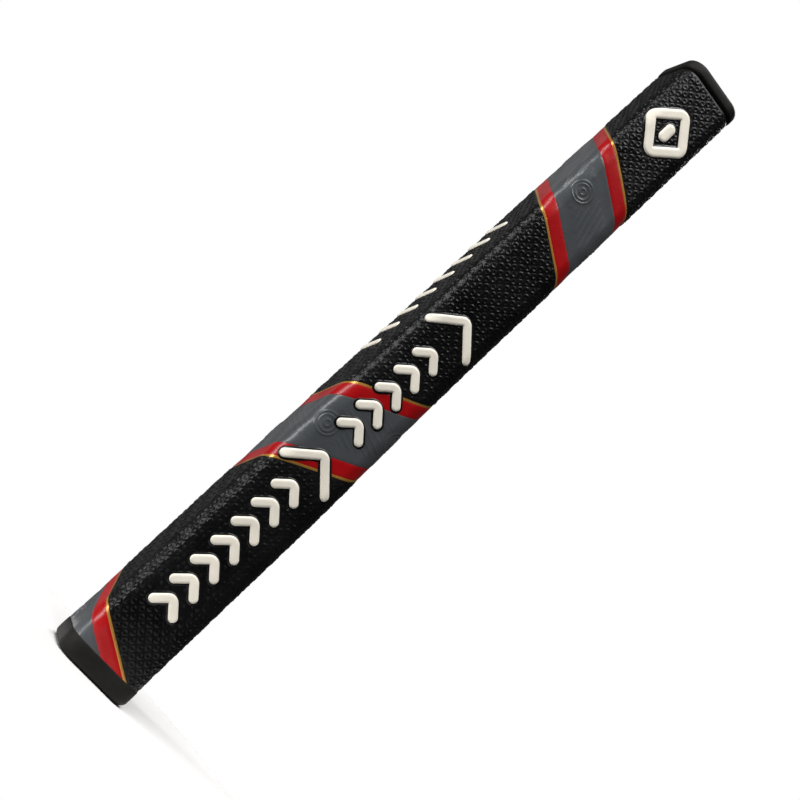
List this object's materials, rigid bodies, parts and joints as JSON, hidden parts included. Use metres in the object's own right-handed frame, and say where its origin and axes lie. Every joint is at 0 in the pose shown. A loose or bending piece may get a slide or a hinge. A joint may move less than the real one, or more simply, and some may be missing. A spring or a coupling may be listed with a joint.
{
  "type": "golf grip",
  "caption": "Flat-fronted, parallel putter grip with a foam core, textured skin, colour bands, rubber collar and a butt cap with a screw-in port plug.",
  "frame": {"origin": "centre of the shaft bore's mouth, in the plane of the collar's lower face", "axes": "+Z along the shaft bore from the mouth to the butt, -Y out of the flat front face, +X to the right when the front face is seen with the butt up"},
  "size_m": [0.0272, 0.0286, 0.2667],
  "materials": {
    "eva_foam": "matt, closed-cell foam",
    "felt": "matt, non-woven",
    "polyurethane_skin": "satin, embossed",
    "seam_polyurethane": "satin",
    "moulded_rubber": "matt, moulded",
    "insert_aluminium": "machined",
    "washer_rubber": "matt",
    "plug_aluminium": "black anodised, satin"
  },
  "bodies": {
    "grip": {"foam_core": "eva_foam", "felt_backing": "felt", "outer_skin": "polyurethane_skin", "seam_bead": "seam_polyurethane", "lower_collar": "moulded_rubber", "butt_cap": "moulded_rubber", "port_insert": "insert_aluminium"},
    "washer": {"plug_washer": "washer_rubber"},
    "plug": {"port_plug": "plug_aluminium"}
  },
  "joints": [
    {"name": "plug_lift", "type": "slide", "parent": "grip", "child": "washer", "axis": [0, 0, 1], "range_m": [0, 0.0075]},
    {"name": "plug_turn", "type": "hinge", "parent": "washer", "child": "plug", "pos_m": [0, 0, 0.2657], "axis": [0, 0, 1], "range_deg": [0, 1800]}
  ],
  "couplings": [
    {"joint": "plug_turn", "follows": "plug_lift", "rad_per_m": 4188.8}
  ]
}
